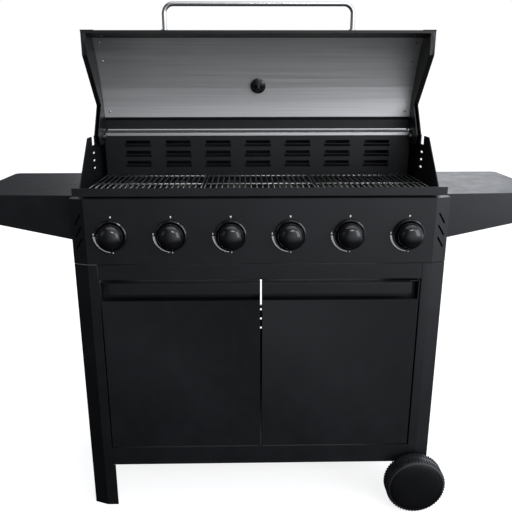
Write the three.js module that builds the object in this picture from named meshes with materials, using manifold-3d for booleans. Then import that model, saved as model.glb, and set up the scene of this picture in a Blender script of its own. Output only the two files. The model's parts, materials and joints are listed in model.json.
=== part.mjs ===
// Six-burner gas barbecue on a cabinet cart: folded-steel cart with two doors, side shelves and two wheels,
// an open firebox with burners, flame tamers and wire grates, and a hinged double-skinned lid.
// Millimetres. X runs to the right, Y back from the front of the control panel, Z up from the floor.
import * as THREE from "three";
import { mergeVertices } from "three/addons/utils/BufferGeometryUtils.js";
import Module from "manifold-3d";

const wasm = await Module();
wasm.setup();

// ---------------------------------------------------------------- driving dimensions
const SHEET = 2; // folded steel sheet
const GAP = 0.3; // between pieces that touch
const FAR = 3000; // longer than anything that a cutting block has to pass

const CART_HALF = 432; // half the cart's width
const CART_DEPTH = 400;
const CORNER_IN = 34.5; // angled corner of the cart: its width in X
const CORNER_BACK = 13; // and its depth in Y
const LEG_FACE_IN = 378; // inner edge of the legs' front faces, beside the doors
const LEG_FOOT_IN = 370.5; // and below the cabinet's floor
const LEG_RETURN = 15; // how far back the front faces' inner edges fold
const LEG_WIDTH = 45; // legs' width in side view, below the side panels
const SIDE_BOTTOM = 120; // lower edge of the side panels
const SIDE_TOP = 805.5;

const PANEL_BOTTOM = 657;
const PANEL_SEAM = 1.6; // open seam under the control panel
const PANEL_TOP = 809;
const TOP_VENT_Z = 761; // slots in the control panel's angled ends
const VENT_STEP = 28;
const PANEL_RETURN = 40; // how far back the control panel's ends run
const PANEL_SHELF = 36; // how far back its top flange runs

const KNOB_PITCH = 135.6;
const KNOB_COUNT = 6;
const KNOB_Z = 726;
const KNOB_RADIUS = 28.5;

const SHELF_TOP = 811;
const SHELF_END = 680;
const SHELF_FRONT = 39;
const SHELF_FRONT_OUT = 52; // the front edge draws in towards the outer end
const SHELF_BACK = 380;
const SHELF_SKIRT_IN = 106; // skirt depth at the cart
const SHELF_SKIRT_OUT = 56.3; // skirt depth at the outer end
const SHELF_CORNER = 16;

const FLOOR_TOP = 170; // top of the cabinet's floor
const FLOOR_LIP = 49;
const BACK_PANEL_TOP = 400;
const FASCIA_BOTTOM = 618.3;

const DOOR_OUT = 374;
const DOOR_SPLIT = 1.2; // the doors meet a little to the right of the middle
const DOOR_GAP = 4.4;
const DOOR_BOTTOM = 172;
const DOOR_STEP = 564.5; // where the door face folds back into the finger recess
const DOOR_TOP = 612.5;
const DOOR_DEPTH = 28;
const DOOR_PIN_X = 370;
const DOOR_PIN_Y = 6;
const GRIP_FRONT = -18;
const GRIP_BOTTOM = 588.5;
const GRIP_END = 350;
const GRIP_INSET = 0.8; // from the door's inner edge to the grip's end

const WHEEL_X = 393;
const WHEEL_RADIUS = 75;
const WHEEL_WIDTH = 44;
const WHEEL_FACE = 2; // gap between the cart's face and the wheel
const RIGHT_LEG_BOTTOM = 35;

const FIREBOX_HALF = 403; // the walls and grates between the lid's cheeks
const END_PLATE_IN = 418;
const END_PLATE_OUT = 420;
const END_PLATE_TOP = 928;
const END_PLATE_BACK = 368;
const NOTCH_BOTTOM = 905.5; // spit-rod notch in each end plate
const PLATE_SLOTS_Z = [886.5, 867.5, 848.5]; // slots below it
const RAIL_HALF = 425;
const RAIL_FRONT = 15;
const RAIL_TOP = 831.5;
const RAIL_LIFT = 3.5; // gap between the control panel's top and the rail
const LEDGE_TOP = PANEL_TOP + RAIL_LIFT + SHEET; // ledges that carry the grates
const FRONT_WALL_Y = 38;
const BACK_WALL_Y = 285;
const BACK_WALL_TOP = 928;
const TOP_LOUVRE_Z = 902.5;
const LOUVRE_STEP = 26.7;
const WALL_BOTTOM = 712;
const RUNNER_Z = 705;

const GRATE_TOP = 822;
const GRATE_FRONT = 32;
const GRATE_BACK = 281;
const GRATE_PITCH = 13.75;
const GRATE_WIRES = 20;
const GRATE_SPACE = 4.125; // between one grate and the next
const WIRE = 4;

const BURNER_Z = 745;
const TAMER_RIDGE = 807;

const TRAY_HALF = 355;
const TRAY_BOTTOM = 686;

const PIVOT_Y = 272; // lid hinge
const PIVOT_Z = 922;
const LID_OPEN = 90; // degrees from closed, as the part stands
const LID_HALF = 416;
const CHEEK = 12; // thickness of the lid's hollow sides
const LID_FRONT = 18.5;
const LID_BOTTOM = 817;
const HANDLE_HALF = 223.5;
const HANDLE_REACH = 60;
const HANDLE_RADIUS = 5.5;
const HANDLE_Z = 850;

const STEEL_BLACK = { color: 0x1b1c1f, roughness: 0.55, metalness: 0.3 };
const STAINLESS = { color: 0xb9bbbb, roughness: 0.35, metalness: 0.95 };
const DARK_STEEL = { color: 0x3a3a3b, roughness: 0.5, metalness: 0.8 };
const GRATE_STEEL = { color: 0x6f7173, roughness: 0.4, metalness: 0.85 };
const GLOSS_BLACK = { color: 0x0c0c0d, roughness: 0.15, metalness: 0.0 };
const RUBBER_BLACK = { color: 0x17171a, roughness: 0.8, metalness: 0.0 };
const BRASS = { color: 0xa98a4a, roughness: 0.4, metalness: 0.9 };

// ---------------------------------------------------------------- solids
function solidOf(geometry) {
  const bare = geometry.index ? geometry.toNonIndexed() : geometry.clone();
  bare.deleteAttribute("normal");
  bare.deleteAttribute("uv");
  const merged = mergeVertices(bare, 1e-4);
  return new wasm.Manifold(
    new wasm.Mesh({
      numProp: 3,
      vertProperties: new Float32Array(merged.attributes.position.array),
      triVerts: new Uint32Array(merged.index.array),
    }),
  );
}

function geometryOf(solid) {
  const mesh = solid.getMesh();
  const positions = new Float32Array(mesh.numVert * 3);
  for (let i = 0; i < mesh.numVert; i++) {
    const start = i * mesh.numProp;
    positions.set(mesh.vertProperties.subarray(start, start + 3), i * 3);
  }
  const geometry = new THREE.BufferGeometry();
  geometry.setAttribute("position", new THREE.BufferAttribute(positions, 3));
  geometry.setIndex(new THREE.BufferAttribute(new Uint32Array(mesh.triVerts), 1));
  geometry.computeVertexNormals();
  return geometry;
}

const join = (...solids) => solids.reduce((whole, next) => whole.add(next));
const cut = (solid, ...tools) => tools.reduce((rest, tool) => rest.subtract(tool), solid);

function named(name, solid, look) {
  const mesh = new THREE.Mesh(geometryOf(solid), new THREE.MeshStandardMaterial(look));
  mesh.name = name;
  return mesh;
}

function block(x0, x1, y0, y1, z0, z1) {
  const geometry = new THREE.BoxGeometry(x1 - x0, y1 - y0, z1 - z0);
  geometry.translate((x0 + x1) / 2, (y0 + y1) / 2, (z0 + z1) / 2);
  return solidOf(geometry);
}

// The closed outline of a folded sheet: its centre line, thickened by half its thickness on each side.
function sheetOutline(line, thickness = SHEET) {
  const points = line.map(([a, b]) => new THREE.Vector2(a, b));
  const normals = points.slice(1).map((p, i) => {
    const along = p.clone().sub(points[i]).normalize();
    return new THREE.Vector2(-along.y, along.x);
  });
  const offsets = points.map((p, i) => {
    const before = normals[Math.max(0, i - 1)];
    const after = normals[Math.min(normals.length - 1, i)];
    const mitre = before.clone().add(after).normalize();
    return mitre.multiplyScalar(thickness / 2 / mitre.dot(after));
  });
  const left = points.map((p, i) => [p.x + offsets[i].x, p.y + offsets[i].y]);
  const right = points.map((p, i) => [p.x - offsets[i].x, p.y - offsets[i].y]);
  return [...left, ...right.reverse()];
}

function extrude(outline, length) {
  const shape = new THREE.Shape(outline.map(([a, b]) => new THREE.Vector2(a, b)));
  return new THREE.ExtrudeGeometry(shape, { depth: length, bevelEnabled: false });
}

// An outline in (Y, Z), run along X.
function alongX(outline, x0, x1) {
  const geometry = extrude(outline, x1 - x0);
  geometry.rotateZ(Math.PI / 2);
  geometry.rotateY(Math.PI / 2);
  geometry.translate(x0, 0, 0);
  return solidOf(geometry);
}

// An outline in (X, Z), run along Y.
function alongY(outline, y0, y1) {
  const geometry = extrude(outline, y1 - y0);
  geometry.rotateX(Math.PI / 2);
  geometry.translate(0, y1, 0);
  return solidOf(geometry);
}

// An outline in (X, Y), run along Z.
function alongZ(outline, z0, z1) {
  const geometry = extrude(outline, z1 - z0);
  geometry.translate(0, 0, z0);
  return solidOf(geometry);
}

// A turned piece: its profile is a list of [radius, distance along the axis].
function turned(profile, segments) {
  const points = profile.map(([r, h]) => new THREE.Vector2(r, h));
  const solid = solidOf(new THREE.LatheGeometry(points, segments));
  return solid.volume() < 0 ? solidOf(new THREE.LatheGeometry(points.reverse(), segments)) : solid;
}

// A turned piece's own axis is Y. These turn it to run along X or Z.
const turnedX = (profile, segments) => turned(profile, segments).rotate([0, 0, -90]);
const turnedZ = (profile, segments) => turned(profile, segments).rotate([90, 0, 0]);

function rod(radius, from, to) {
  return [[0, from], [radius, from], [radius, to], [0, to]];
}

const mirrored = (outline) => outline.map(([x, y]) => [-x, y]);
const curvePoints = (points, count) =>
  new THREE.CubicBezierCurve(...points.map(([a, b]) => new THREE.Vector2(a, b)))
    .getPoints(count)
    .map((p) => [p.x, p.y]);

const knobX = (i) => (i - (KNOB_COUNT - 1) / 2) * KNOB_PITCH;
const knobIndexes = [...Array(KNOB_COUNT).keys()];
const SIDES = { left: -1, right: 1 };

// ---------------------------------------------------------------- cart
function sideFrame(side) {
  const half = SHEET / 2;
  const outer = CART_HALF - half;
  const corner = CART_HALF - CORNER_IN + half / 2;
  const section = [
    [LEG_FACE_IN, LEG_RETURN],
    [LEG_FACE_IN, half],
    [corner, half],
    [outer, CORNER_BACK + half / 2],
    [outer, CART_DEPTH - CORNER_BACK - half / 2],
    [corner, CART_DEPTH - half],
    [LEG_FACE_IN, CART_DEPTH - half],
  ];
  const onSide = SIDES[side] < 0 ? mirrored(section) : section;
  const bottom = side === "right" ? RIGHT_LEG_BOTTOM : 0;
  const [foot0, foot1] = [SIDES[side] * LEG_FOOT_IN, SIDES[side] * LEG_FACE_IN].sort((a, b) => a - b);
  const frame = cut(
    join(
      alongZ(sheetOutline(onSide), bottom, SIDE_TOP),
      block(foot0, foot1, 0, SHEET, bottom, SIDE_BOTTOM - GAP),
    ),
    block(-FAR, FAR, -10, PANEL_RETURN + GAP, PANEL_BOTTOM - PANEL_SEAM, FAR),
    block(-FAR, FAR, LEG_WIDTH, CART_DEPTH - LEG_WIDTH, -10, SIDE_BOTTOM),
  );
  if (side === "left") return frame;
  const axleHole = turned(rod(6.6, -20, CART_DEPTH + 20), 20).translate([WHEEL_X, 0, WHEEL_RADIUS]);
  return cut(frame, axleHole);
}

function cabinetFloor() {
  const outline = (inset) => {
    const narrow = LEG_FACE_IN - SHEET / 2 - GAP - inset;
    const wide = CART_HALF - SHEET - GAP - inset;
    const step = CORNER_BACK + 3 + inset;
    const quarter = [[narrow, inset], [narrow, step], [wide, step]];
    const half = [...quarter, ...quarter.map(([x, y]) => [x, CART_DEPTH - y]).reverse()];
    return [...half, ...mirrored(half).reverse()];
  };
  const pinHoles = Object.values(SIDES).map((s) =>
    turnedZ(rod(3.2, FLOOR_TOP - 10, FLOOR_TOP + 5), 16).translate([s * DOOR_PIN_X, DOOR_PIN_Y, 0]),
  );
  return cut(
    alongZ(outline(0), FLOOR_TOP - FLOOR_LIP, FLOOR_TOP),
    alongZ(outline(SHEET), 0, FLOOR_TOP - SHEET),
    ...pinHoles,
  );
}

function backPanel() {
  const plate = alongX(
    sheetOutline([
      [392, FLOOR_TOP + 1.5],
      [396.7, FLOOR_TOP + 1.5],
      [396.7, BACK_PANEL_TOP],
      [388, BACK_PANEL_TOP],
    ]),
    -396,
    396,
  );
  const slots = [];
  for (let column = -3; column <= 3; column++) {
    for (let row = 0; row < 3; row++) {
      const x = column * 105;
      const z = BACK_PANEL_TOP - 14 - row * 30.5;
      slots.push(block(x - 28, x + 28, 380, 410, z - 3.3, z + 3.3));
    }
  }
  return cut(plate, ...slots);
}

function frontFascia() {
  const bottom = FASCIA_BOTTOM + SHEET / 2;
  const top = PANEL_BOTTOM - PANEL_SEAM - SHEET / 2;
  const end = LEG_FACE_IN - SHEET / 2 - GAP;
  const beam = alongX(sheetOutline([[24, bottom], [1, bottom], [1, top], [20, top]]), -end, end);
  const pinHoles = Object.values(SIDES).map((s) =>
    turnedZ(rod(3.2, FASCIA_BOTTOM - 5, FASCIA_BOTTOM + 10), 16).translate([s * DOOR_PIN_X, DOOR_PIN_Y, 0]),
  );
  return cut(beam, ...pinHoles);
}

function controlPanel() {
  const half = SHEET / 2;
  const outer = CART_HALF - half;
  const corner = CART_HALF - CORNER_IN + half / 2;
  const right = [[corner, half], [outer, CORNER_BACK + half / 2], [outer, PANEL_RETURN]];
  const face = alongZ(sheetOutline([...mirrored(right).reverse(), ...right]), PANEL_BOTTOM, PANEL_TOP);
  const flangeRight = [
    [CART_HALF - CORNER_IN, 0.2],
    [CART_HALF - 0.2, CORNER_BACK],
    [CART_HALF - 0.2, PANEL_SHELF],
  ];
  const flange = alongZ([...flangeRight, ...mirrored(flangeRight).reverse()], PANEL_TOP - SHEET, PANEL_TOP);
  const stemHoles = knobIndexes.map((i) => turned(rod(13, -10, 20), 16).translate([knobX(i), 0, KNOB_Z]));
  const vents = [];
  for (const side of Object.values(SIDES)) {
    for (let i = 0; i < 3; i++) {
      const slot = block(-2.2, 2.2, -12, 12, -15, 15).rotate([0, side * -34, side * 21]);
      const z = TOP_VENT_Z - i * VENT_STEP;
      vents.push(slot.translate([side * (CART_HALF - CORNER_IN / 2), CORNER_BACK / 2, z]));
    }
  }
  return cut(join(face, flange), ...stemHoles, ...vents);
}

function shelf(side) {
  const s = SIDES[side];
  const inner = CART_HALF + GAP;
  const outline = (inset) => {
    const shape = new THREE.Shape();
    const end = SHELF_END - inset;
    const r = SHELF_CORNER - inset;
    const frontOut = SHELF_FRONT_OUT + inset;
    const back = SHELF_BACK - inset;
    shape.moveTo(inner + inset, SHELF_FRONT + inset);
    shape.lineTo(end - r, frontOut);
    shape.quadraticCurveTo(end, frontOut, end, frontOut + r);
    shape.lineTo(end, back - r);
    shape.quadraticCurveTo(end, back, end - r, back);
    shape.lineTo(inner + inset, back);
    return shape.getPoints(5).map((p) => [s * p.x, p.y]);
  };
  const skirtBottom = SHELF_TOP - SHELF_SKIRT_IN;
  const under = [
    [s * (inner - 1), skirtBottom - 60],
    [s * (inner - 1), skirtBottom],
    [s * (SHELF_END + 1), SHELF_TOP - SHELF_SKIRT_OUT],
    [s * (SHELF_END + 1), skirtBottom - 60],
  ];
  return cut(
    alongZ(outline(0), skirtBottom - 1, SHELF_TOP),
    alongZ(outline(SHEET), skirtBottom - 10, SHELF_TOP - SHEET),
    alongY(under, 0, CART_DEPTH),
  );
}

function cartMeshes() {
  return [
    named("left_side_frame", sideFrame("left"), STEEL_BLACK),
    named("right_side_frame", sideFrame("right"), STEEL_BLACK),
    named("cabinet_floor", cabinetFloor(), STEEL_BLACK),
    named("back_panel", backPanel(), STEEL_BLACK),
    named("front_fascia", frontFascia(), STEEL_BLACK),
    named("control_panel", controlPanel(), STEEL_BLACK),
    named("left_shelf", shelf("left"), STEEL_BLACK),
    named("right_shelf", shelf("right"), STEEL_BLACK),
  ];
}

// ---------------------------------------------------------------- doors
const doorInner = (s) => DOOR_SPLIT + (s * DOOR_GAP) / 2;

function door(s) {
  const face = sheetOutline([
    [3, DOOR_BOTTOM],
    [3, DOOR_STEP],
    [DOOR_DEPTH - 1, DOOR_STEP],
    [DOOR_DEPTH - 1, DOOR_TOP - 1],
    [4, DOOR_TOP - 1],
  ]);
  const [x0, x1] = [s * DOOR_OUT, doorInner(s)].sort((a, b) => a - b);
  const edge = (x) => block(x, x + SHEET, 2, DOOR_DEPTH, DOOR_BOTTOM, DOOR_TOP);
  const pin = turnedZ(rod(2.6, DOOR_TOP - 1, DOOR_TOP + 8), 12).translate([s * DOOR_PIN_X, DOOR_PIN_Y, 0]);
  const lowerPin = turnedZ(rod(2.6, DOOR_BOTTOM - 6, DOOR_BOTTOM + 3), 12);
  const lowerTab = block(s * 364 - 9, s * 364 + 9, 3, 20, DOOR_BOTTOM, DOOR_BOTTOM + SHEET);
  return join(
    alongX(face, x0, x1),
    edge(x0),
    edge(x1 - SHEET),
    lowerTab,
    pin,
    lowerPin.translate([s * DOOR_PIN_X, DOOR_PIN_Y, 0]),
  );
}

function doorGrip(s) {
  const top = DOOR_TOP + GAP + SHEET / 2;
  const strip = sheetOutline([[GRIP_FRONT + 1, GRIP_BOTTOM], [GRIP_FRONT + 1, top], [22, top]]);
  const [x0, x1] = [s * GRIP_END, doorInner(s) + s * GRIP_INSET].sort((a, b) => a - b);
  const cheek = (x) => block(x, x + SHEET, GRIP_FRONT, 1.5, GRIP_BOTTOM, top + 1);
  return join(alongX(strip, x0, x1), cheek(x0), cheek(x1 - SHEET));
}

function doorMeshes() {
  return Object.entries(SIDES).flatMap(([side, s]) => [
    named(side + "_door", door(s), STEEL_BLACK),
    named(side + "_door_grip", doorGrip(s), STEEL_BLACK),
  ]);
}

// ---------------------------------------------------------------- wheels
// Turned about Y with the outer face towards -Y: the front wheel as it stands, the rear wheel turned round.
function wheelMeshes() {
  const inner = -WHEEL_FACE;
  const outer = inner - WHEEL_WIDTH;
  const seat = outer + 8; // face that the hub cap sits on
  const capRadius = WHEEL_RADIUS - 9;
  const tyre = [
    [7, inner - 1],
    [WHEEL_RADIUS - 6, inner - 1],
    [WHEEL_RADIUS, inner - 6],
    [WHEEL_RADIUS, outer + 4],
    [WHEEL_RADIUS - 4, outer],
    [capRadius + GAP, outer],
    [capRadius + GAP, seat],
    [7, seat],
    [7, inner - 1],
  ];
  const cap = [
    [0, seat - GAP],
    [capRadius, seat - GAP],
    [capRadius, outer + 1],
    [capRadius - 12, outer - 2],
    [capRadius / 2, outer - 3.6],
    [0, outer - 4],
  ];
  const axle = [
    [0, seat + 1],
    [6, seat + 1],
    [6, SHEET + 1.8],
    [8, SHEET + 1.8],
    [8, 10],
    [0, 10],
  ];
  const pieces = {
    wheel: [tyre, 32, RUBBER_BLACK],
    hub_cap: [cap, 32, RUBBER_BLACK],
    axle: [axle, 14, DARK_STEEL],
  };
  return Object.entries(pieces).flatMap(([name, [profile, segments, look]]) => {
    const front = turned(profile, segments);
    const rear = front.rotate([0, 0, 180]).translate([0, CART_DEPTH, 0]);
    return [
      named("front_" + name, front.translate([WHEEL_X, 0, WHEEL_RADIUS]), look),
      named("rear_" + name, rear.translate([WHEEL_X, 0, WHEEL_RADIUS]), look),
    ];
  });
}

// ---------------------------------------------------------------- firebox
function endPlate(s) {
  const x = s * (END_PLATE_IN + SHEET / 2);
  const runner = s * 377;
  const section = [
    [x, END_PLATE_TOP],
    [x, WALL_BOTTOM + 5],
    [runner, WALL_BOTTOM + 5],
    [runner, RUNNER_Z],
    [s * 364, RUNNER_Z],
  ];
  const ledge = [s * (END_PLATE_OUT - 1), s * CART_HALF].sort((a, b) => a - b);
  const slope = [[0, FAR], [0, 812], [51, 812], [167, END_PLATE_TOP], [167, FAR]];
  const holes = PLATE_SLOTS_Z.map((z) => block(-FAR, FAR, 210, 230, z - 2.5, z + 2.5));
  return cut(
    join(
      alongY(sheetOutline(section), 45, END_PLATE_BACK),
      block(ledge[0], ledge[1], 45, END_PLATE_BACK, SIDE_TOP + GAP, SIDE_TOP + GAP + SHEET),
    ),
    alongX(slope, -FAR, FAR),
    block(-FAR, FAR, 207, 233, NOTCH_BOTTOM, FAR),
    turnedX(rod(4.2, -FAR, FAR), 16).translate([0, PIVOT_Y, PIVOT_Z]),
    ...holes,
  );
}

function frontWall() {
  const web = LEDGE_TOP - SHEET / 2;
  const line = [
    [RAIL_FRONT + 1, RAIL_TOP],
    [RAIL_FRONT + 1, web],
    [FRONT_WALL_Y + 1, web],
    [FRONT_WALL_Y + 1, WALL_BOTTOM],
  ];
  const rail = block(-RAIL_HALF, RAIL_HALF, RAIL_FRONT, RAIL_FRONT + SHEET, LEDGE_TOP - SHEET, RAIL_TOP);
  const ports = knobIndexes.map((i) => turned(rod(17, FRONT_WALL_Y - 6, FRONT_WALL_Y + 8), 20));
  return cut(
    join(alongX(sheetOutline(line), -FIREBOX_HALF, FIREBOX_HALF), rail),
    ...ports.map((port, i) => port.translate([knobX(i), 0, BURNER_Z])),
  );
}

// Seven columns of three pressed louvres that open upwards: a slot with a scoop below it, proud of the front.
function backWall() {
  const columns = 7;
  const pitch = 105.5;
  const half = 34;
  const scoops = [];
  const slots = [];
  for (let column = 0; column < columns; column++) {
    const x = (column - (columns - 1) / 2) * pitch;
    for (let row = 0; row < 3; row++) {
      const lip = TOP_LOUVRE_Z - row * LOUVRE_STEP;
      const scoop = [
        [BACK_WALL_Y + 1, lip - 10],
        [BACK_WALL_Y - 5, lip - 1.5],
        [BACK_WALL_Y - 5, lip],
        [BACK_WALL_Y + 1, lip - 7.5],
      ];
      scoops.push(alongX(scoop, x - half, x + half));
      slots.push(block(x - half + 2, x + half - 2, BACK_WALL_Y - 1, BACK_WALL_Y + 4, lip - 6, lip + 8));
    }
  }
  const bottom = WALL_BOTTOM + 6 + GAP;
  const wall = block(-FIREBOX_HALF, FIREBOX_HALF, BACK_WALL_Y, BACK_WALL_Y + SHEET, bottom, BACK_WALL_TOP);
  const [ledgeFront, ledgeBack] = [BACK_WALL_Y - 9, BACK_WALL_Y + 1];
  const ledge = block(-FIREBOX_HALF, FIREBOX_HALF, ledgeFront, ledgeBack, LEDGE_TOP - SHEET, LEDGE_TOP);
  return join(cut(wall, ...slots), ledge, ...scoops);
}

function rearDeflector() {
  const line = [[283.5, 922.5], [283.5, 929.5], [367, 941.5], [367, 931]];
  return alongX(sheetOutline(line, 1.5), -FIREBOX_HALF + 1, FIREBOX_HALF - 1);
}

function rearCover() {
  const y = END_PLATE_BACK + GAP;
  return block(-END_PLATE_OUT, END_PLATE_OUT, y, y + SHEET, WALL_BOTTOM + 12, 940);
}

// A flat lattice: long wires from front to back, tied by cross bars, with a deeper bar at each end as feet.
function grate(index) {
  const width = (GRATE_WIRES - 1) * GRATE_PITCH + WIRE;
  const x0 = -FIREBOX_HALF + 1 + index * (width + GRATE_SPACE);
  const bar = (y, bottom) => block(x0 + 1, x0 + width - 1, y, y + WIRE, bottom, GRATE_TOP);
  const footZ = LEDGE_TOP + 0.5;
  const pieces = [bar(GRATE_FRONT, footZ), bar(151, GRATE_TOP - WIRE), bar(GRATE_BACK - WIRE, footZ)];
  for (let w = 0; w < GRATE_WIRES; w++) {
    const x = x0 + w * GRATE_PITCH;
    pieces.push(block(x, x + WIRE, GRATE_FRONT, GRATE_BACK, GRATE_TOP - WIRE, GRATE_TOP));
  }
  return join(...pieces);
}

function burner(x) {
  const start = FRONT_WALL_Y - 2;
  const end = BACK_WALL_Y - GAP;
  const profile = [
    [9, start],
    [13, start],
    [13, start + 14],
    [10.5, start + 34],
    [10.5, end - 4],
    [8, end],
    [0, end],
    [0, end - 2],
    [7, end - 4],
    [9, end - 6],
    [9, start],
  ];
  return turned(profile, 10).translate([x, 0, BURNER_Z]);
}

function flameTamer(x) {
  const line = [[x - 48, 789], [x - 7, TAMER_RIDGE - 1], [x + 7, TAMER_RIDGE - 1], [x + 48, 789]];
  return alongY(sheetOutline(line, 1.5), FRONT_WALL_Y + SHEET + GAP, BACK_WALL_Y - 9 - GAP);
}

// The tray hangs by its side lips on the end plates' runners, and a cup hangs under its drain hole.
function dripTray() {
  const front = FRONT_WALL_Y + 12;
  const back = 300;
  const lipZ = RUNNER_Z + SHEET / 2 + GAP + 0.75;
  const half = [[TRAY_HALF - 25, TRAY_BOTTOM], [TRAY_HALF, lipZ], [374, lipZ]];
  const pan = alongY(sheetOutline([...mirrored(half).reverse(), ...half], 1.5), front, back);
  const end = [[TRAY_HALF - 25, TRAY_BOTTOM - 0.7], [TRAY_HALF, lipZ + 0.7]];
  const endPlates = [front, back - 1.5].map((y) => alongY([...mirrored(end), ...end.reverse()], y, y + 1.5));
  const pull = block(-60, 60, back - 1, back + 18, lipZ - 0.8, lipZ + 0.7);
  const drain = turnedZ(rod(14, TRAY_BOTTOM - 5, TRAY_BOTTOM + 5), 20).translate([0, 170, 0]);
  return cut(join(pan, ...endPlates, pull), drain);
}

function greaseCup() {
  const top = TRAY_BOTTOM - 0.75 - GAP;
  const wall = 1.5;
  const profile = [
    [0, top - 45],
    [36, top - 45],
    [44, top],
    [44 - wall, top],
    [36 - wall, top - 45 + wall],
    [0, top - 45 + wall],
  ];
  return turnedZ(profile, 24).translate([0, 170, 0]);
}

function fireboxMeshes() {
  return [
    named("left_end_plate", endPlate(-1), STEEL_BLACK),
    named("right_end_plate", endPlate(1), STEEL_BLACK),
    named("firebox_front_wall", frontWall(), STEEL_BLACK),
    named("firebox_back_wall", backWall(), STEEL_BLACK),
    named("rear_deflector", rearDeflector(), STAINLESS),
    named("firebox_rear_cover", rearCover(), STEEL_BLACK),
    ...["left", "middle", "right"].map((place, i) => named(place + "_grate", grate(i), GRATE_STEEL)),
    ...knobIndexes.map((i) => named("burner_" + (i + 1), burner(knobX(i)), STAINLESS)),
    ...knobIndexes.map((i) => named("flame_tamer_" + (i + 1), flameTamer(knobX(i)), DARK_STEEL)),
    named("drip_tray", dripTray(), STAINLESS),
    named("grease_cup", greaseCup(), STAINLESS),
  ];
}

// ---------------------------------------------------------------- gas train
// One pipe feeds six valve bodies. Each has a bore for its stem in front and a jet that faces its burner.
function gasManifold() {
  const pipeZ = 700;
  const pipeY = 25;
  const pipeProfile = [[0, -362], [7, -362], [7, 372], [10, 372], [10, 386], [6, 386], [6, 402], [0, 402]];
  const pipe = turnedX(pipeProfile, 14);
  const valves = knobIndexes.flatMap((i) => {
    const x = knobX(i);
    const body = block(x - 11, x + 11, 8, 30, pipeZ, BURNER_Z + 8);
    const jet = turned(rod(3.5, 29, 36 - GAP), 10).translate([x, 0, BURNER_Z]);
    const bore = turned(rod(5, 0, 20), 14).translate([x, 0, KNOB_Z]);
    return [cut(body, bore), jet];
  });
  return join(pipe.translate([0, pipeY, pipeZ]), ...valves);
}

function valveStem(x) {
  return turned([[0, -28], [4, -28], [4, 14], [0, 14]], 12).translate([x, 0, KNOB_Z]);
}

function knob(x) {
  const back = -6;
  const front = -38;
  const profile = [
    [4.4, back],
    [KNOB_RADIUS + 3, back],
    [KNOB_RADIUS + 3, back - 4],
    [KNOB_RADIUS, back - 8],
    [KNOB_RADIUS - 1.5, front + 10],
    [KNOB_RADIUS - 6, front + 4],
    [KNOB_RADIUS - 15, front + 0.8],
    [0, front],
    [0, -28.4],
    [4.4, -28.4],
    [4.4, back],
  ];
  return turned(profile, 20).translate([x, 0, KNOB_Z]);
}

function gasMeshes() {
  return [
    named("gas_manifold", gasManifold(), BRASS),
    ...knobIndexes.map((i) => named("valve_stem_" + (i + 1), valveStem(knobX(i)), DARK_STEEL)),
    ...knobIndexes.map((i) => named("knob_" + (i + 1), knob(knobX(i)), GLOSS_BLACK)),
  ];
}

// ---------------------------------------------------------------- lid, drawn closed and turned open
const SKIN_CURVE = [[LID_FRONT + 1, 862], [LID_FRONT + 1, 908], [120, 955], [255, 973]];
const LINER_CURVE = [[32, 874], [48, 893], [139, 946], [224.5, 954.3]];
const THERMOMETER = { y: 144, z: 934.7, tilt: 17 }; // degrees that its axis leans forward of vertical

function lidShell() {
  const skin = sheetOutline([
    [29.5, 871],
    [24, LID_BOTTOM + 1],
    [LID_FRONT + 1, LID_BOTTOM + 1],
    ...curvePoints(SKIN_CURVE, 12),
    [255, 960],
    [232.5, 957.8],
  ]);
  const outerCurve = curvePoints(SKIN_CURVE, 12).map(([y, z]) => [y - 0.4, z + 0.2]);
  const cheekOutline = [
    [LID_FRONT + 0.6, LID_BOTTOM],
    [74, 817.5],
    [193, 923],
    [265.5, 873],
    [290, 886],
    [292, 930],
    [255.5, 959.5],
    ...outerCurve.reverse(),
  ];
  const rim = sheetOutline([[LID_FRONT + 1, LID_BOTTOM + 1], [73.6, 818.5], [193, 924.4]]);
  const pieces = [alongX(skin, -LID_HALF, LID_HALF)];
  for (const s of Object.values(SIDES)) {
    const span = (from, to) => [s * from, s * to].sort((a, b) => a - b);
    pieces.push(alongX(cheekOutline, ...span(LID_HALF - SHEET, LID_HALF - 0.01)));
    pieces.push(alongX(cheekOutline, ...span(LID_HALF - CHEEK, LID_HALF - CHEEK + SHEET)));
    pieces.push(alongX(rim, ...span(LID_HALF - CHEEK + 1, LID_HALF - 1)));
  }
  const hingeHole = turnedX(rod(4.6, -FAR, FAR), 16).translate([0, PIVOT_Y, PIVOT_Z]);
  return cut(join(...pieces), hingeHole, thermometerHole());
}

// Places a piece that is turned about Z at the thermometer's seat on the lid.
function atThermometer(solid, lift) {
  const { y, z, tilt } = THERMOMETER;
  return solid.translate([0, 0, lift]).rotate([tilt, 0, 0]).translate([0, y, z]);
}

const thermometerHole = () => atThermometer(turnedZ(rod(10, -80, 80), 20), 0);

function lidLiner() {
  const line = curvePoints(LINER_CURVE, 10);
  const span = LID_HALF - CHEEK - GAP;
  return cut(alongX(sheetOutline(line, 1.2), -span, span), thermometerHole());
}

function lidThermometer() {
  const profile = [
    [0, 27],
    [24, 27],
    [30, 24],
    [30, 16.4],
    [8, 16.4],
    [8, -2],
    [19, -2],
    [19, -8],
    [4, -9],
    [4, -30],
    [0, -31],
  ];
  return atThermometer(turnedZ(profile, 28), 0);
}

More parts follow.
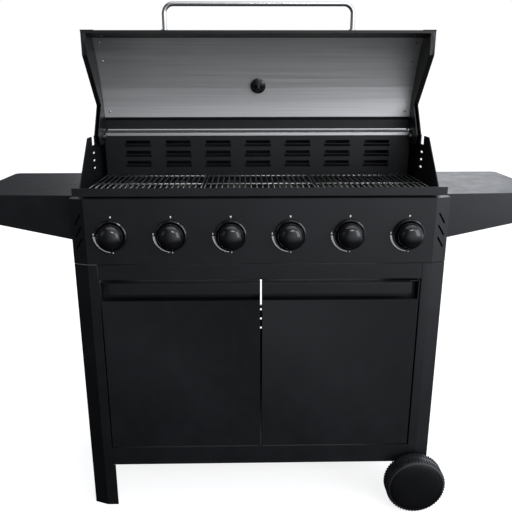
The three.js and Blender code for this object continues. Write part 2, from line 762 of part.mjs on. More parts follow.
function lidHandle() {
  const bend = 22;
  const start = LID_FRONT - GAP;
  const reach = start - HANDLE_REACH;
  const at = (x, y) => new THREE.Vector3(x, y, HANDLE_Z);
  const path = new THREE.CurvePath();
  path.add(new THREE.LineCurve3(at(-HANDLE_HALF, start), at(-HANDLE_HALF, reach + bend)));
  path.add(
    new THREE.QuadraticBezierCurve3(
      at(-HANDLE_HALF, reach + bend),
      at(-HANDLE_HALF, reach),
      at(-HANDLE_HALF + bend, reach),
    ),
  );
  path.add(new THREE.LineCurve3(at(-HANDLE_HALF + bend, reach), at(HANDLE_HALF - bend, reach)));
  path.add(
    new THREE.QuadraticBezierCurve3(
      at(HANDLE_HALF - bend, reach),
      at(HANDLE_HALF, reach),
      at(HANDLE_HALF, reach + bend),
    ),
  );
  path.add(new THREE.LineCurve3(at(HANDLE_HALF, reach + bend), at(HANDLE_HALF, start)));
  const section = new THREE.Shape();
  const sides = 8;
  for (let i = 0; i < sides; i++) {
    const a = (i / sides) * 2 * Math.PI;
    const [u, v] = [HANDLE_RADIUS * Math.cos(a), HANDLE_RADIUS * Math.sin(a)];
    if (i === 0) section.moveTo(u, v);
    else section.lineTo(u, v);
  }
  return solidOf(new THREE.ExtrudeGeometry(section, { steps: 30, extrudePath: path }));
}

function hingeBolt(s) {
  const head = [[0, 397], [7, 397], [7, 403.6], [3.7, 403.6]];
  const nut = [[3.7, 420.4], [8, 420.4], [8, 425], [0, 425]];
  const profile = [...head, ...nut];
  return turnedX(profile.map(([r, x]) => [r, s * x]), 14).translate([0, PIVOT_Y, PIVOT_Z]);
}

function lidGroup() {
  const hinge = new THREE.Group();
  hinge.position.set(0, PIVOT_Y, PIVOT_Z);
  hinge.rotation.x = THREE.MathUtils.degToRad(-LID_OPEN);
  const closed = new THREE.Group();
  closed.position.set(0, -PIVOT_Y, -PIVOT_Z);
  closed.add(named("lid_shell", lidShell(), STEEL_BLACK));
  closed.add(named("lid_liner", lidLiner(), STAINLESS));
  closed.add(named("lid_handle", lidHandle(), STAINLESS));
  closed.add(named("lid_thermometer", lidThermometer(), GLOSS_BLACK));
  hinge.add(closed);
  return hinge;
}

// ---------------------------------------------------------------- the whole part
// Its origin is on the floor under its centre.
const barbecue = new THREE.Group();
barbecue.position.y = -CART_DEPTH / 2;
barbecue.add(...cartMeshes(), ...doorMeshes(), ...wheelMeshes(), ...fireboxMeshes(), ...gasMeshes());
barbecue.add(named("left_hinge_bolt", hingeBolt(-1), DARK_STEEL));
barbecue.add(named("right_hinge_bolt", hingeBolt(1), DARK_STEEL));
barbecue.add(lidGroup());

export default barbecue;
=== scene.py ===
import json
import math

import bmesh
import bpy
from mathutils import Matrix, Vector
from mathutils.bvhtree import BVHTree


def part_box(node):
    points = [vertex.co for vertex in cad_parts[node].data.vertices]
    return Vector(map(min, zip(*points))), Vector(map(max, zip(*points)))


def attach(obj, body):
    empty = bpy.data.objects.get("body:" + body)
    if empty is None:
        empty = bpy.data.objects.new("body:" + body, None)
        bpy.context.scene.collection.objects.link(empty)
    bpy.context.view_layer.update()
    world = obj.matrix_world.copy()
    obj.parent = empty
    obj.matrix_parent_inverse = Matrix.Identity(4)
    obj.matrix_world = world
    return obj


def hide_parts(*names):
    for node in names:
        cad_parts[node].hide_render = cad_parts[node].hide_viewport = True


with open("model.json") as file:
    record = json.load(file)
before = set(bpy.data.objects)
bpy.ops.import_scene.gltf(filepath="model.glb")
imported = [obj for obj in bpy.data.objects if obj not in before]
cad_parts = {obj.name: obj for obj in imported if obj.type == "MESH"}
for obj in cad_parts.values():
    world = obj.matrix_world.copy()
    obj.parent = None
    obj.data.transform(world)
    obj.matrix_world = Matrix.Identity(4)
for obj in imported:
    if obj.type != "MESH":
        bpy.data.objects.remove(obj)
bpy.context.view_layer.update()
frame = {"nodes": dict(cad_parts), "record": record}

# Six-burner gas barbecue. Metres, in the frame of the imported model:
# X runs to the right, Y from the front to the rear, Z up from the floor under the centre.

# ---------------------------------------------------------------- dimensions shared by several pieces
MM = 0.001
DEPTH_SHIFT = 0.2  # from the control panel's front face to the middle of the cart
PANEL_FACE = -DEPTH_SHIFT
KNOB_PITCH = 0.1356
KNOB_Z = 0.726
KNOB_XS = [(i - 2.5) * KNOB_PITCH for i in range(6)]
GRATE_NODES = ["left_grate", "middle_grate", "right_grate"]


# ---------------------------------------------------------------- materials
class Nodes:
    """A material's node tree, its Principled shader, metre-scaled coordinates and short ways to link."""

    def __init__(self, name):
        self.material = bpy.data.materials.new(name)
        self.material.use_nodes = True
        self.tree = self.material.node_tree
        self.shader = self.tree.nodes["Principled BSDF"]
        self.coordinates = self.tree.nodes.new("ShaderNodeTexCoord").outputs["Object"]

    def set(self, **values):
        for key, value in values.items():
            self.shader.inputs[key.replace("_", " ")].default_value = value

    def link(self, output, socket):
        self.tree.links.new(output, socket)

    def scaled(self, stretch):
        mapping = self.tree.nodes.new("ShaderNodeMapping")
        mapping.inputs["Scale"].default_value = stretch
        self.link(self.coordinates, mapping.inputs["Vector"])
        return mapping.outputs["Vector"]

    def noise(self, scale, detail=3.0, stretch=(1, 1, 1)):
        node = self.tree.nodes.new("ShaderNodeTexNoise")
        node.inputs["Scale"].default_value = scale
        node.inputs["Detail"].default_value = detail
        self.link(self.scaled(stretch), node.inputs["Vector"])
        return node.outputs["Fac"]

    def colours(self, factor, low, high, start=0.3, end=0.7):
        ramp = self.tree.nodes.new("ShaderNodeValToRGB")
        ramp.color_ramp.elements[0].position = start
        ramp.color_ramp.elements[0].color = (*low, 1)
        ramp.color_ramp.elements[1].position = end
        ramp.color_ramp.elements[1].color = (*high, 1)
        self.link(factor, ramp.inputs["Fac"])
        self.link(ramp.outputs["Color"], self.shader.inputs["Base Color"])

    def roughness(self, factor, low, high):
        remap = self.tree.nodes.new("ShaderNodeMapRange")
        remap.inputs["From Min"].default_value = 0.3
        remap.inputs["From Max"].default_value = 0.7
        remap.inputs["To Min"].default_value = low
        remap.inputs["To Max"].default_value = high
        self.link(factor, remap.inputs["Value"])
        self.link(remap.outputs["Result"], self.shader.inputs["Roughness"])

    def bump(self, factor, strength, distance):
        node = self.tree.nodes.new("ShaderNodeBump")
        node.inputs["Strength"].default_value = strength
        node.inputs["Distance"].default_value = distance
        self.link(factor, node.inputs["Height"])
        self.link(node.outputs["Normal"], self.shader.inputs["Normal"])


def coated(name, low, high, rough, specular=0.5, grain=(1100, 0.12)):
    """Paint or moulded plastic: faint mottling, uneven sheen and a fine orange-peel grain."""
    m = Nodes(name)
    m.set(Metallic=0.0, Specular_IOR_Level=specular)
    m.colours(m.noise(9), low, high)
    m.roughness(m.noise(35, 4), *rough)
    m.bump(m.noise(grain[0], 2), grain[1], 0.0002)
    return m.material


def brushed(name, low, high, rough, stretch, strength=0.05, metallic=1.0):
    """Bare metal with fine lines along the axis that stretch leaves long."""
    m = Nodes(name)
    m.set(Metallic=metallic)
    lines = m.noise(1.0, 5, stretch)
    m.colours(lines, low, high, 0.25, 0.75)
    m.roughness(lines, *rough)
    m.bump(lines, strength, 0.0001)
    return m.material


POWDER = coated("powder_coat", (0.0038, 0.0042, 0.0052), (0.0062, 0.0068, 0.0082), (0.33, 0.41), 0.45)
# A darker, duller copy of the powder coat for the firebox's back wall and end plates; on the burner port
# discs and the plates behind the panel's vent slots it is painted shade.
DARKER_COAT_AND_PAINTED_SHADE = coated(
    "powder_coat_darker_and_painted_shade", (0.0035, 0.0038, 0.0046), (0.006, 0.0063, 0.0074), (0.42, 0.5), 0.32
)
GLOSS = coated("gloss_plastic", (0.005, 0.005, 0.006), (0.008, 0.008, 0.009), (0.1, 0.16), 0.5, (260, 0.01))
MOULDED = coated(
    "moulded_plastic", (0.002, 0.002, 0.0025), (0.004, 0.004, 0.005), (0.42, 0.52), 0.22, (800, 0.2)
)
# Tread rubber, lighter and glossier than the moulded plastic: partly the rubber's own tone, partly painted
# light for the light that its ribs catch.
TREAD_WITH_PAINTED_LIGHT = coated("tread_rubber_with_painted_light", (0.011, 0.011, 0.013), (0.018, 0.018, 0.021), (0.3, 0.38), 0.6, (800, 0.1))
PRINT = coated("white_print", (0.72, 0.72, 0.72), (0.8, 0.8, 0.8), (0.4, 0.5), 0.4, (600, 0.02))
RED_PRINT = coated("red_print", (0.5, 0.03, 0.02), (0.56, 0.04, 0.03), (0.4, 0.5), 0.4, (600, 0.02))
LINER = brushed("liner_steel", (0.74, 0.735, 0.725), (0.88, 0.875, 0.865), (0.42, 0.52), (2.5, 420, 420))
HANDLE = brushed("handle_steel", (0.5, 0.5, 0.495), (0.6, 0.6, 0.59), (0.22, 0.3), (3, 700, 700), 0.03)
SHEET_STEEL = brushed("sheet_steel", (0.52, 0.52, 0.51), (0.66, 0.66, 0.65), (0.28, 0.38), (3, 500, 500))
WIRE = brushed("grate_wire", (0.29, 0.295, 0.30), (0.41, 0.415, 0.42), (0.26, 0.38), (200, 12, 200))
HEAT_STEEL = brushed("heat_dulled_steel", (0.10, 0.095, 0.09), (0.2, 0.18, 0.16), (0.4, 0.55), (60, 60, 60))
BRASS = brushed("valve_brass", (0.42, 0.30, 0.12), (0.52, 0.38, 0.16), (0.3, 0.4), (90, 90, 90))
RIVET = brushed("rivet_steel", (0.5, 0.5, 0.5), (0.62, 0.62, 0.62), (0.2, 0.3), (300, 300, 300))

SLOT_LOOKS = {
    "powder_coat": POWDER,
    "stainless": SHEET_STEEL,
    "wire_steel": WIRE,
    "heat_steel": HEAT_STEEL,
    "knob_black": GLOSS,
    "wheel_black": MOULDED,
    "valve_brass": BRASS,
}
NODE_LOOKS = {
    "lid_liner": LINER,
    "firebox_back_wall": DARKER_COAT_AND_PAINTED_SHADE,
    "left_end_plate": DARKER_COAT_AND_PAINTED_SHADE,
    "right_end_plate": DARKER_COAT_AND_PAINTED_SHADE,
}


# ---------------------------------------------------------------- mesh helpers
def piece(name, mesh, body, look, smooth=40):
    """Makes an object of a bmesh or mesh, smooth except at edges sharper than the given angle."""
    if isinstance(mesh, bmesh.types.BMesh):
        bmesh.ops.recalc_face_normals(mesh, faces=mesh.faces)
        data = bpy.data.meshes.new(name)
        mesh.to_mesh(data)
        mesh.free()
    else:
        data = mesh
    data.materials.clear()
    data.materials.append(look)
    if smooth is not None:
        data.shade_smooth()
        data.set_sharp_from_angle(angle=math.radians(smooth))
    obj = bpy.data.objects.new(name, data)
    bpy.context.scene.collection.objects.link(obj)
    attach(obj, body)
    return obj


def add_bevel(obj, width, segments=2):
    bevel = obj.modifiers.new("rounded_edges", "BEVEL")
    bevel.width = width
    bevel.segments = segments
    bevel.limit_method = "ANGLE"
    bevel.angle_limit = math.radians(38)
    bevel.harden_normals = True


def turned(bm, profile, matrix, segments=48):
    """Adds a lathed surface: profile is a list of (radius, height) along local Z."""
    rings = []
    for radius, height in profile:
        if radius < 1e-7:
            rings.append([bm.verts.new(matrix @ Vector((0, 0, height)))])
            continue
        ring = []
        for k in range(segments):
            a = 2 * math.pi * k / segments
            ring.append(bm.verts.new(matrix @ Vector((radius * math.cos(a), radius * math.sin(a), height))))
        rings.append(ring)
    for low, high in zip(rings, rings[1:]):
        for k in range(segments):
            n = (k + 1) % segments
            corners = [low[k % len(low)], low[n % len(low)], high[n % len(high)], high[k % len(high)]]
            unique = list(dict.fromkeys(corners))
            if len(unique) >= 3:
                bm.faces.new(unique)


def rod(bm, start, end, radius, sides=10, bevel=0.0):
    """Adds a round bar between two points, with its ends rounded by bevel."""
    start, end = Vector(start), Vector(end)
    length = (end - start).length
    turn = (end - start).to_track_quat("Z", "Y").to_matrix().to_4x4()
    near_end = [(0, 0), (radius - bevel, 0), (radius, bevel)]
    far_end = [(radius, length - bevel), (radius - bevel, length), (0, length)]
    profile = near_end + far_end
    turned(bm, profile, Matrix.Translation(start) @ turn, sides)


def sweep(bm, points, radius, sides=16):
    """Adds a round tube along a path that lies in an upright plane across the cart."""
    points = [Vector(p) for p in points]
    normal = Vector((0, 1, 0))
    rings = []
    for i, p in enumerate(points):
        ahead = points[min(i + 1, len(points) - 1)] - points[max(i - 1, 0)]
        ahead.normalize()
        normal = (normal - ahead * normal.dot(ahead)).normalized()
        across = ahead.cross(normal)
        ring = []
        for k in range(sides):
            a = 2 * math.pi * k / sides
            ring.append(bm.verts.new(p + radius * (math.cos(a) * normal + math.sin(a) * across)))
        rings.append(ring)
    for low, high in zip(rings, rings[1:]):
        for k in range(sides):
            n = (k + 1) % sides
            bm.faces.new([low[k], low[n], high[n], high[k]])
    bm.faces.new(rings[0])
    bm.faces.new(list(reversed(rings[-1])))


def facing(normal, at):
    """A frame at a point whose local Z looks along normal."""
    return Matrix.Translation(Vector(at)) @ Vector(normal).to_track_quat("Z", "Y").to_matrix().to_4x4()


def flat_shape(bm, outline, matrix, thickness):
    """Adds a thin plate of a flat outline, raised along local Z."""
    low = [bm.verts.new(matrix @ Vector((x, y, 0))) for x, y in outline]
    high = [bm.verts.new(matrix @ Vector((x, y, thickness))) for x, y in outline]
    bm.faces.new(high)
    bm.faces.new(list(reversed(low)))
    for k in range(len(low)):
        n = (k + 1) % len(low)
        bm.faces.new([low[k], low[n], high[n], high[k]])


def body_of(node):
    return next(b for b, nodes in frame["record"]["behaviour"]["bodies"].items() if node in nodes)


def slot_of(node):
    return next(s["material_slot"] for s in frame["record"]["subparts"] if s["node"] == node)


def refined(node, bevel=0.0006, smooth=30):
    """A copy of a CAD node in its place. A bevel also merges its flat faces and rounds its edges."""
    bm = bmesh.new()
    bm.from_mesh(frame["nodes"][node].data)
    bmesh.ops.remove_doubles(bm, verts=bm.verts, dist=2e-6)
    if bevel:
        bmesh.ops.dissolve_limit(bm, angle_limit=math.radians(0.6), verts=bm.verts, edges=bm.edges)
    slot = slot_of(node)
    obj = piece(node + "_finished", bm, body_of(node), NODE_LOOKS.get(node, SLOT_LOOKS[slot]), smooth)
    if bevel:
        add_bevel(obj, bevel)
    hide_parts(node)


def seen_from_front(nodes, x, z):
    """The first point of some CAD nodes that a line from the front meets, and the face's direction there."""
    hits = []
    for node in nodes:
        obj = frame["nodes"][node]
        corners = [obj.matrix_world @ v.co for v in obj.data.vertices]
        tree = BVHTree.FromPolygons(corners, [tuple(p.vertices) for p in obj.data.polygons])
        at, normal, _, distance = tree.ray_cast(Vector((x, -2, z)), Vector((0, 1, 0)))
        if at:
            hits.append((distance, at, normal))
    _, at, normal = min(hits, key=lambda hit: hit[0])
    return at, normal if normal.y < 0 else -normal


# ---------------------------------------------------------------- knobs, their bezels and the printed marks
TOWARDS_FRONT = Vector((0, -1, 0))
BEZEL = [
    (0.0125, 0.0), (0.0125, 0.0015), (0.0298, 0.0015), (0.0308, 0.0078), (0.0330, 0.0090), (0.0352, 0.0078),
    (0.0363, 0.0050), (0.0365, 0.0), (0.0125, 0.0),
]
KNOB = [
    (0.0044, 0.0063), (0.0275, 0.0063), (0.0292, 0.0078), (0.0296, 0.0105), (0.0292, 0.0180),
    (0.0282, 0.0235), (0.0263, 0.0282), (0.0236, 0.0317), (0.0200, 0.0343), (0.0155, 0.0362),
    (0.0105, 0.0373), (0.0052, 0.0379), (0.0, 0.0380),
]


def make_knobs():
    for i, x in enumerate(KNOB_XS):
        seat = facing(TOWARDS_FRONT, (x, PANEL_FACE, KNOB_Z))
        bm = bmesh.new()
        turned(bm, BEZEL, seat, 64)
        piece(f"knob_bezel_{i + 1}", bm, "cart", GLOSS, 35)
        bm = bmesh.new()
        turned(bm, KNOB, seat, 64)
        turned(bm, [(0.0044, 0.0063), (0.0044, 0.0284), (0, 0.0284)], seat, 32)
        knob = piece(f"knob_dome_{i + 1}", bm, f"dial_{i + 1}", GLOSS, 50)
        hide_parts(f"knob_{i + 1}")


def flame(cx, cy, size, tilt):
    """A small plain flame mark."""
    outline = [(0, 1.0), (0.42, 0.3), (0.5, -0.25), (0.25, -0.7), (-0.25, -0.7), (-0.5, -0.25), (-0.3, 0.3)]
    c, s = math.cos(tilt), math.sin(tilt)
    return [(cx + size * (c * x - s * y), cy + size * (s * x + c * y)) for x, y in outline]


MARK_RADIUS = 0.0405  # of the arc round each knob
PRINT_DEPTH = 0.0002


def make_dial_marks():
    """A dot above, a narrowing arc at the lower left and two flames round each knob."""
    for i, x in enumerate(KNOB_XS):
        bm = bmesh.new()
        # local X runs to the left as seen from the front, local Y up
        seat = Matrix.Translation((x, PANEL_FACE, KNOB_Z)) @ Matrix.Rotation(math.pi / 2, 4, "X")
        angles = [k * math.pi / 6 for k in range(12)]
        dot = [(0.0019 * math.cos(a), 0.0425 + 0.0024 * math.sin(a)) for a in angles]
        flat_shape(bm, dot, seat, PRINT_DEPTH)
        steps = 24
        outer, inner = [], []
        for k in range(steps + 1):
            a = math.radians(184 + 80 * k / steps)
            width = 0.0034 * (1 - k / steps) + 0.0012
            outside, inside = MARK_RADIUS + width / 2, MARK_RADIUS - width / 2
            outer.append((outside * math.cos(a), outside * math.sin(a)))
            inner.append((inside * math.cos(a), inside * math.sin(a)))
        flat_shape(bm, outer + inner[::-1], seat, PRINT_DEPTH)
        flat_shape(bm, flame(-0.0412, 0.0028, 0.0034, 0), seat, PRINT_DEPTH)
        flat_shape(bm, flame(0.0015, -0.0412, 0.0024, 0), seat, PRINT_DEPTH)
        piece(f"dial_marks_{i + 1}", bm, "cart", PRINT, None)


# ---------------------------------------------------------------- grates
WIRE_SIZE = 0.004  # of the CAD's square wires
WIRE_PITCH = 0.01375


def make_grates():
    for node in GRATE_NODES:
        low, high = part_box(node)
        top = high[2]
        bm = bmesh.new()
        radius = 0.0017
        gaps = round((high[0] - low[0] - WIRE_SIZE) / WIRE_PITCH)
        for k in range(gaps + 1):
            x = low[0] + WIRE_SIZE / 2 + (high[0] - low[0] - WIRE_SIZE) * k / gaps
            rod(bm, (x, low[1], top - radius), (x, high[1], top - radius), radius, 10, 0.0006)
        for y in (low[1] + 0.002, 0.153 - DEPTH_SHIFT, high[1] - 0.002):
            bar = 0.0021
            z = top - 2 * radius - bar + 0.0004
            rod(bm, (low[0], y, z), (high[0], y, z), bar, 12, 0.0008)
        for x in (low[0] + 0.03, high[0] - 0.03):
            for y in (low[1] + 0.002, high[1] - 0.002):
                rod(bm, (x, y, low[2]), (x, y, top - 0.004), 0.002, 10, 0.0004)
        grate = piece(node + "_wires", bm, "cart", WIRE, 50)
        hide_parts(node)


# ---------------------------------------------------------------- wheels
def make_wheels():
    for end, body in (("front", "front_roller"), ("rear", "rear_roller")):
        low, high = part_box(end + "_wheel")
        out = -1 if end == "front" else 1
        centre = Vector(((low[0] + high[0]) / 2, 0, (low[2] + high[2]) / 2))
        inner = high[1] if out < 0 else low[1]
        seat = facing((0, out, 0), (centre.x, inner, centre.z))
        big = (high[0] - low[0]) / 2
        width = high[1] - low[1]
        base = big - 0.0019
        bm = bmesh.new()
        tyre = [
            (0.007, 0.0), (base - 0.008, 0.0), (base - 0.003, 0.0012), (base, 0.005), (base, width - 0.006),
            (base - 0.0022, width - 0.0015), (base - 0.006, width), (big - 0.0087, width),
            (big - 0.0087, width - 0.008), (0.007, width - 0.008), (0.007, 0.0),
        ]
        turned(bm, tyre, seat, 96)
        ribs = 60
        for row in (0.1, 0.62):
            for k in range(ribs):
                a = 2 * math.pi * (k + (0.5 if row > 0.5 else 0)) / ribs
                place = Matrix.Translation((base - 0.0003, -0.0018, width * row))
                rib = seat @ Matrix.Rotation(a, 4, "Z") @ place
                corners = [(0, 0), (0.0021, 0.0005), (0.0021, 0.0031), (0, 0.0036)]
                flat_shape(bm, corners, rib, width * 0.27)
        wheel = piece(end + "_wheel_tread", bm, body, TREAD_WITH_PAINTED_LIGHT, 35)
        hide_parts(end + "_wheel")
        low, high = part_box(end + "_hub_cap")
        radius = (high[0] - low[0]) / 2
        foot = high[1] if out < 0 else low[1]
        tall = high[1] - low[1]
        seat = facing((0, out, 0), (centre.x, foot, centre.z))
        bm = bmesh.new()
        dome = [(0, 0), (radius, 0), (radius, tall * 0.42)]
        for k in range(1, 13):
            a = math.pi / 2 * k / 12
            dome.append((radius * math.cos(a), tall * (0.42 + 0.58 * math.sin(a) ** 0.8)))
        dome[-1] = (0, tall)
        turned(bm, dome, seat, 72)
        cap = piece(end + "_hub_dome", bm, body, MOULDED, 50)
        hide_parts(end + "_hub_cap")


# ---------------------------------------------------------------- lid
HINGE_Y, HINGE_Z = 272, 922  # the lid's hinge, in millimetres in the cart's section


def closed_to_open(y, z):
    """From a point of the closed lid, in millimetres, to its place on the open lid, in metres."""
    return ((z - HINGE_Z + HINGE_Y) * MM - DEPTH_SHIFT, (HINGE_Z + HINGE_Y - y) * MM)


def make_handle():
    low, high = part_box("lid_handle")
    radius = 0.0055
    half = (high[0] - low[0]) / 2 - radius
    foot, top = low[2] - 0.0002, high[2] - radius
    y = (low[1] + high[1]) / 2
    bend = 0.022
    points = [(-half, y, foot), (-half, y, foot + 0.02)]
    for k in range(13):
        a = math.pi / 2 * k / 12
        points.append((-half + bend * (1 - math.cos(a)), y, top - bend + bend * math.sin(a)))
    points.append((0, y, top))
    points += [(-x, py, z) for x, py, z in reversed(points[:-1])]
    bm = bmesh.new()
    sweep(bm, points, radius, 24)
    for s in (-1, 1):
        flange = [(radius, 0.004), (0.0085, 0.0035), (0.0095, 0.0)]
        turned(bm, flange, facing((0, 0, 1), (s * half, y, foot)), 32)
    handle = piece("lid_handle_tube", bm, "lid", HANDLE, 50)
    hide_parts("lid_handle")


def dome_rivet(bm, at, normal, radius=0.0028):
    profile = [
        (radius, -0.0003), (radius, 0.0003), (radius * 0.8, 0.0009), (radius * 0.4, 0.0013), (0, 0.0014),
    ]
    turned(bm, profile, facing(normal, at), 16)


TOP_RIVETS = [(x, 1.165) for x in (-0.377, -0.188, 0, 0.188, 0.377)]  # x and z
SIDE_RIVETS = [(side * 0.389, z) for side in (-1, 1) for z in (1.151, 1.108, 0.984)]


def make_lid_rivets():
    bm = bmesh.new()
    for x, z in TOP_RIVETS + SIDE_RIVETS:
        dome_rivet(bm, *seen_from_front(["lid_shell", "lid_liner"], x, z))
    piece("lid_liner_rivets", bm, "lid", RIVET, 50)


def make_lid_corner_caps():
    """A flat cap plate on each top corner of the open lid."""
    low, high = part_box("lid_shell")
    front, back = low[1] - 0.0008, low[1] + 0.06
    for name, side in (("left", -1), ("right", 1)):
        inner, outer = side * (high[0] - 0.03), side * (high[0] + 0.0006)
        bm = bmesh.new()
        chamfer = 0.006
        outline = [
            (inner, front), (outer, front), (outer, back - chamfer), (outer - side * chamfer, back),
            (inner, back),
        ]
        flat_shape(bm, outline, Matrix.Translation((0, 0, high[2] - 0.0015)), 0.0025)
        cap = piece(f"lid_corner_cap_{name}", bm, "lid", POWDER, 40)
        add_bevel(cap, 0.0008)


def make_thermometer():
    tilt = math.radians(17)
    outward = Vector((0, math.cos(tilt), math.sin(tilt)))
    y, z = closed_to_open(144, 934.7)
    seat = facing(outward, (0, y, z))
    bm = bmesh.new()
    case = [
        (0, 0.0164), (0.029, 0.0164), (0.030, 0.018), (0.030, 0.0235), (0.028, 0.026), (0.0262, 0.0262),
        (0.0256, 0.0235), (0, 0.0235),
    ]
    turned(bm, case, seat, 64)
    shaft = [
        (0.008, 0.0168), (0.008, -0.002), (0.0178, -0.002), (0.0193, -0.0035), (0.0193, -0.0068),
        (0.0178, -0.0082), (0.0075, -0.0092), (0.0042, -0.0100), (0.0040, -0.0296), (0.0, -0.0308),
    ]
    turned(bm, shaft, seat, 48)
    obj = piece("thermometer_case", bm, "lid", GLOSS, 40)
    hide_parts("lid_thermometer")
    bm = bmesh.new()
    turned(bm, [(0, 0.0238), (0.0254, 0.0238)], seat, 48)
    piece("thermometer_face", bm, "lid", PRINT, None)
    bm = bmesh.new()
    for k in range(21):
        a = math.radians(225 - 13.5 * k)
        long = 0.0048 if k % 5 == 0 else 0.003
        tick = seat @ Matrix.Rotation(a, 4, "Z") @ Matrix.Translation((0.0238 - long, -0.0003, 0.0239))
        flat_shape(bm, [(0, 0), (long, 0), (long, 0.0006), (0, 0.0006)], tick, 0.0001)
    turned(bm, [(0.0022, 0.0239), (0.0022, 0.0249), (0, 0.0249)], seat, 16)
    piece("thermometer_ticks", bm, "lid", GLOSS, None)
    bm = bmesh.new()
    hand = seat @ Matrix.Rotation(math.radians(225), 4, "Z") @ Matrix.Translation((-0.004, 0, 0.0243))
    flat_shape(bm, [(0, -0.0009), (0.024, -0.0002), (0.024, 0.0002), (0, 0.0009)], hand, 0.0003)
    piece("thermometer_hand", bm, "lid", RED_PRINT, None)


# ---------------------------------------------------------------- burners
def make_burners():
    for i in range(6):
        low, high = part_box(f"burner_{i + 1}")
        x = (low[0] + high[0]) / 2
        z = (low[2] + high[2]) / 2
        seat = facing((0, 1, 0), (x, low[1], z))
        length = high[1] - low[1]
        bm = bmesh.new()
        tube = [
            (0.009, 0.0), (0.0128, 0.0), (0.0128, 0.014), (0.0105, 0.034), (0.0105, length - 0.004),
            (0.008, length), (0, length),
        ]
        turned(bm, tube, seat, 32)
        turned(bm, [(0.009, 0.0), (0.009, length - 0.006), (0, length - 0.005)], seat, 32)
        burner = piece(f"burner_tube_{i + 1}", bm, "cart", SHEET_STEEL, 50)
        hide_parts(f"burner_{i + 1}")
        # Thin dark discs where each burner's ports are: painted shade in place of holes.
        bm = bmesh.new()
        for side in (-1, 1):
            for k in range(22):
                along = low[1] + 0.045 + k * 0.0088
                normal = Vector((side * 0.8, 0, 0.6))
                spot = Vector((x, along, z)) + normal * 0.0104
                turned(bm, [(0.0013, 0.0), (0.0013, 0.0003), (0, 0.0003)], facing(normal, spot), 8)
        piece(f"burner_port_shade_discs_{i + 1}", bm, "cart", DARKER_COAT_AND_PAINTED_SHADE, None)


# ---------------------------------------------------------------- screws that hold the sheets together
def screw(bm, at, normal, radius=0.0042):
    profile = [
        (radius, -0.0002), (radius, 0.0008), (radius * 0.75, 0.0019), (radius * 0.35, 0.0023), (0, 0.0018),
    ]
    turned(bm, profile, facing(normal, at), 20)


def make_screws():
    bm = bmesh.new()
    cart_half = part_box("right_side_frame")[1][0]
    for s in (-1, 1):
        for y in (-0.14, 0.14):
            for z in (0.145, 0.58):
                screw(bm, (s * cart_half, y, z), (s, 0, 0))
        for z in (0.20, 0.38):
            screw(bm, (s * 0.39, 0.2, z), (0, 1, 0))
        for x in (0.2, 0.39):
            screw(bm, (s * x, 0.1703, 0.74), (0, 1, 0))
            screw(bm, (s * x, 0.1703, 0.92), (0, 1, 0))
    piece("panel_screws", bm, "cart", HEAT_STEEL, 50)


def make_vent_shade_plates():
    """A dark plate behind the slots in each angled end of the control panel: painted shade that darkens the
    slots.
    """
    for name, s in (("left", -1), ("right", 1)):
        bm = bmesh.new()
        seat = facing((s * 0.353, -0.936, 0), (s * 0.4165, -0.1822, 0.733))
        flat_shape(bm, [(-0.012, -0.062), (0.012, -0.062), (0.012, 0.062), (-0.012, 0.062)], seat, 0.001)
        piece(f"vent_shade_plate_{name}", bm, "cart", DARKER_COAT_AND_PAINTED_SHADE, 40)


# ---------------------------------------------------------------- assembling the object
REBUILT = (
    set(GRATE_NODES)
    | {f"knob_{i + 1}" for i in range(6)}
    | {f"burner_{i + 1}" for i in range(6)}
    | {"front_wheel", "rear_wheel", "front_hub_cap", "rear_hub_cap", "lid_handle", "lid_thermometer"}
)
BEVELS = {"left_shelf": 0.0012, "right_shelf": 0.0012, "control_panel": 0.0009, "lid_liner": 0.0003}
PIERCED = {"firebox_back_wall", "left_end_plate", "right_end_plate", "back_panel"}  # kept with crisp edges


def make_object():
    for node in sorted(frame["nodes"]):
        if node not in REBUILT:
            if node in PIERCED:
                refined(node, 0, None)
            else:
                refined(node, BEVELS.get(node, 0.0006))
    make_knobs()
    make_dial_marks()
    make_grates()
    make_wheels()
    make_handle()
    make_lid_rivets()
    make_lid_corner_caps()
    make_thermometer()
    make_burners()
    make_screws()
    make_vent_shade_plates()


# ---------------------------------------------------------------- floor, light and camera
def make_floor():
    m = Nodes("floor_pale")
    m.colours(m.noise(1.5), (0.46, 0.46, 0.46), (0.5, 0.5, 0.5))
    m.set(Roughness=0.9, Specular_IOR_Level=0.1)
    m.set(Emission_Color=(1, 1, 1, 1), Emission_Strength=0.8)
    mesh = bpy.data.meshes.new("floor")
    size = 30
    corners = [(-size, -size, 0), (size, -size, 0), (size, size, 0), (-size, size, 0)]
    mesh.from_pydata(corners, [], [(0, 1, 2, 3)])
    mesh.materials.append(m.material)
    floor = bpy.data.objects.new("floor", mesh)
    floor.location.z = -0.0005
    floor.visible_glossy = False
    floor.visible_diffuse = False
    bpy.context.scene.collection.objects.link(floor)


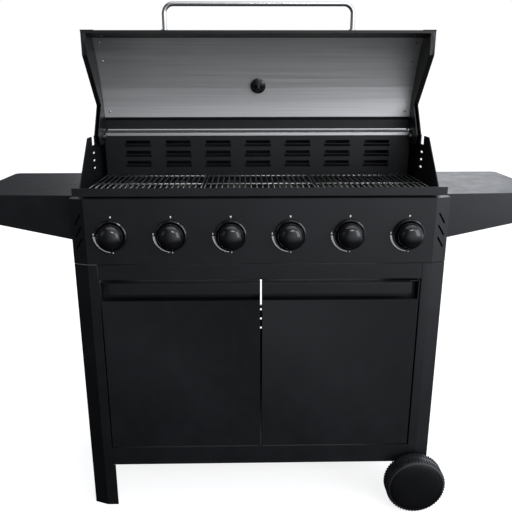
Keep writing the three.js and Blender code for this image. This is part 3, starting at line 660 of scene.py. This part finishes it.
def make_world():
    """White to the camera; the light that it gives is dim, and brighter towards the right."""
    world = bpy.data.worlds.new("studio")
    bpy.context.scene.world = world
    world.use_nodes = True
    tree = world.node_tree
    tree.nodes.clear()
    link = tree.links.new
    coordinates = tree.nodes.new("ShaderNodeTexCoord")
    split = tree.nodes.new("ShaderNodeSeparateXYZ")
    link(coordinates.outputs["Generated"], split.inputs["Vector"])
    across = tree.nodes.new("ShaderNodeMapRange")
    across.interpolation_type = "SMOOTHSTEP"
    for key, value in {"From Min": -0.45, "From Max": 0.45, "To Min": 0.06, "To Max": 1.0}.items():
        across.inputs[key].default_value = value
    link(split.outputs["X"], across.inputs["Value"])
    upward = tree.nodes.new("ShaderNodeMapRange")
    upward.interpolation_type = "SMOOTHSTEP"
    for key, value in {"From Min": -0.6, "From Max": -0.05, "To Min": 0.05, "To Max": 1.3}.items():
        upward.inputs[key].default_value = value
    link(split.outputs["Z"], upward.inputs["Value"])
    level = tree.nodes.new("ShaderNodeMath")
    level.operation = "MULTIPLY"
    link(across.outputs["Result"], level.inputs[0])
    link(upward.outputs["Result"], level.inputs[1])
    dim = tree.nodes.new("ShaderNodeBackground")
    dim.inputs["Color"].default_value = (0.91, 0.95, 1.02, 1)
    link(level.outputs["Value"], dim.inputs["Strength"])
    white = tree.nodes.new("ShaderNodeBackground")
    white.inputs["Color"].default_value = (1, 1, 1, 1)
    white.inputs["Strength"].default_value = 1.0
    path = tree.nodes.new("ShaderNodeLightPath")
    mix = tree.nodes.new("ShaderNodeMixShader")
    link(path.outputs["Is Camera Ray"], mix.inputs["Fac"])
    link(dim.outputs["Background"], mix.inputs[1])
    link(white.outputs["Background"], mix.inputs[2])
    output = tree.nodes.new("ShaderNodeOutputWorld")
    link(mix.outputs["Shader"], output.inputs["Surface"])


def area_light(name, at, towards, size, power, colour=(1, 1, 1)):
    data = bpy.data.lights.new(name, "AREA")
    data.shape = "RECTANGLE"
    data.size, data.size_y = size
    data.energy = power
    data.color = colour
    light = bpy.data.objects.new(name, data)
    turn = (Vector(towards) - Vector(at)).to_track_quat("-Z", "Y").to_matrix().to_4x4()
    light.matrix_world = Matrix.Translation(at) @ turn
    bpy.context.scene.collection.objects.link(light)


def make_lights():
    area_light("right_softbox", (2.6, -2.6, 1.5), (0.2, 0, 0.6), (1.8, 2.4), 46, (0.92, 0.95, 1.0))
    area_light("top_softbox", (0.1, -0.2, 3.2), (0.0, 0, 0.6), (3.0, 2.2), 20)
    area_light("rear_softbox", (0.3, 3.0, 1.7), (0.0, 0, 0.9), (3.2, 1.2), 6.5)
    area_light("front_window", (0.7, -3.2, 2.7), (0, 0, 0.8), (1.3, 0.5), 22)
    area_light("left_fill", (-2.6, -2.2, 1.8), (0, 0, 0.6), (1.4, 1.6), 3, (0.95, 0.97, 1.0))


def make_camera():
    """Eye height a little above the open firebox, looking down at the front."""
    pitch, yaw, roll = math.radians(16.63), math.radians(1.03), math.radians(-0.06)
    forward = Vector((math.sin(yaw) * math.cos(pitch), math.cos(yaw) * math.cos(pitch), -math.sin(pitch)))
    level = Vector((math.cos(yaw), -math.sin(yaw), 0))
    upright = level.cross(forward)
    right = level * math.cos(roll) + upright * math.sin(roll)
    up = upright * math.cos(roll) - level * math.sin(roll)
    data = bpy.data.cameras.new("camera")
    data.lens = 42.03
    data.sensor_width = 36
    camera = bpy.data.objects.new("camera", data)
    turn = Matrix((right, up, -forward)).transposed().to_4x4()
    camera.matrix_world = Matrix.Translation((-0.0345, -1.5191, 1.0696)) @ turn
    bpy.context.scene.collection.objects.link(camera)
    bpy.context.scene.camera = camera


bpy.context.scene.view_settings.view_transform = "Standard"
make_camera()
make_object()
make_floor()
make_world()
make_lights()
